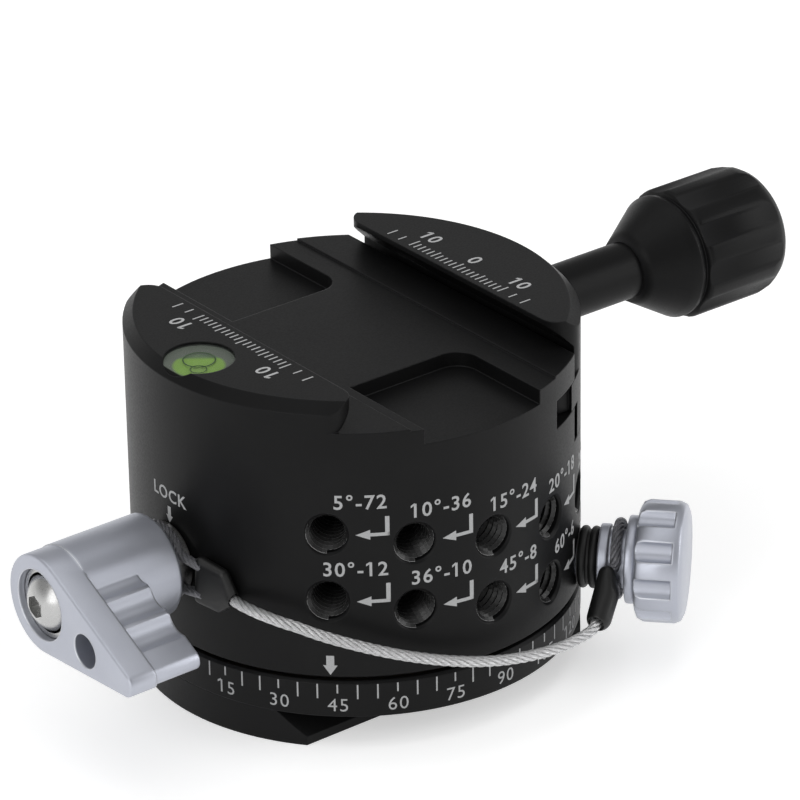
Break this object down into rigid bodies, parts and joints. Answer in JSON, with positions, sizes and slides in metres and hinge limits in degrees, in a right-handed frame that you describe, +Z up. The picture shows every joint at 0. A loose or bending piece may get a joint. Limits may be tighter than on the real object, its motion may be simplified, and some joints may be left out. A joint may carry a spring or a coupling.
{
  "type": "panoramic tripod head (indexing rotator with dovetail disc clamp)",
  "caption": "Indexing panoramic head: a dovetail foot and degree ring carry a drum-shaped housing with index holes, a screw-in plunger, a lock lever and a knob-driven dovetail clamp on top.",
  "frame": {"origin": "centre of the foot's underside, on the axis that the head turns about, at the mouth of the tripod thread", "axes": "+Z up, +X along the clamp knob, Y along the clamp channel"},
  "size_m": [0.1329, 0.0727, 0.0529],
  "materials": {
    "black_aluminium": "satin black anodised, neutral",
    "silver_aluminium": "satin anodised, slightly blue",
    "steel": "ground",
    "stainless": "bright",
    "wire_rope": "bare wire rope, seven twisted strands",
    "black_plastic": "matte",
    "clear_plastic": "clear, polished",
    "green_fluid": "clear green fluid",
    "bearing_bronze": "plain bearing bronze"
  },
  "bodies": {
    "base": {"base_plate": "black_aluminium", "dial_ring": "black_aluminium", "index_drum": "steel", "drum_screws": "steel", "thrust_washer": "bearing_bronze", "bearing_outer_race": "steel", "bearing_balls": "steel"},
    "head": {"head_housing": "black_aluminium", "retaining_ring": "steel", "bearing_inner_race": "steel", "level_cup": "clear_plastic", "level_fluid": "green_fluid", "level_lens": "clear_plastic", "lanyard_rope": "wire_rope", "lever_eye": "wire_rope", "lever_sleeve_crimp": "black_plastic"},
    "jaw": {"movable_jaw": "black_aluminium", "jaw_guide_pins": "steel", "jaw_spring": "steel"},
    "knob": {"clamp_screw": "steel", "knob_shaft": "black_aluminium", "knob_grip": "black_aluminium"},
    "shoe": {"brake_shoe": "bearing_bronze"},
    "lever": {"lock_spindle": "steel", "lock_lever": "silver_aluminium", "lever_washer": "stainless", "lever_screw": "stainless"},
    "plunger_carrier": {"plunger_eye": "wire_rope", "plunger_sleeve_crimp": "black_plastic"},
    "plunger": {"plunger_barrel": "silver_aluminium", "plunger_ridges": "black_plastic", "plunger_knob": "silver_aluminium"},
    "pin": {"index_pin": "steel", "pin_spring": "steel"}
  },
  "joints": [
    {"name": "pan", "type": "hinge", "parent": "base", "child": "head", "pos_m": [0, 0, 0.0104], "axis": [0, 0, 1], "continuous": true},
    {"name": "jaw_slide", "type": "slide", "parent": "head", "child": "jaw", "axis": [1, 0, 0], "range_m": [-0.001, 0.004], "deforming": ["jaw_spring"]},
    {"name": "knob_turn", "type": "hinge", "parent": "jaw", "child": "knob", "pos_m": [0.06, 0, 0.043], "axis": [1, 0, 0], "range_deg": [-360, 1440]},
    {"name": "shoe_slide", "type": "slide", "parent": "head", "child": "shoe", "axis": [1, 0, 0], "range_m": [-0.00026, 0]},
    {"name": "lever_turn", "type": "hinge", "parent": "shoe", "child": "lever", "pos_m": [-0.044, 0, 0.0239], "axis": [1, 0, 0], "range_deg": [-75, 0]},
    {"name": "plunger_slide", "type": "slide", "parent": "head", "child": "plunger_carrier", "axis": [0.6784, -0.7347, 0], "range_m": [0, 0.003]},
    {"name": "plunger_turn", "type": "hinge", "parent": "plunger_carrier", "child": "plunger", "pos_m": [0.0253, -0.0274, 0.0152], "axis": [0.6784, -0.7347, 0], "range_deg": [0, 1080]},
    {"name": "pin_slide", "type": "slide", "parent": "plunger", "child": "pin", "axis": [0.6784, -0.7347, 0], "range_m": [0, 0.0008], "stiffness_N_per_m": 300, "springref_m": -0.003, "deforming": ["pin_spring"]}
  ],
  "couplings": [
    {"joint": "knob_turn", "follows": "jaw_slide", "rad_per_m": 6283.2},
    {"joint": "lever_turn", "follows": "shoe_slide", "rad_per_m": 5026.5},
    {"joint": "plunger_turn", "follows": "plunger_slide", "rad_per_m": 6283.2}
  ]
}
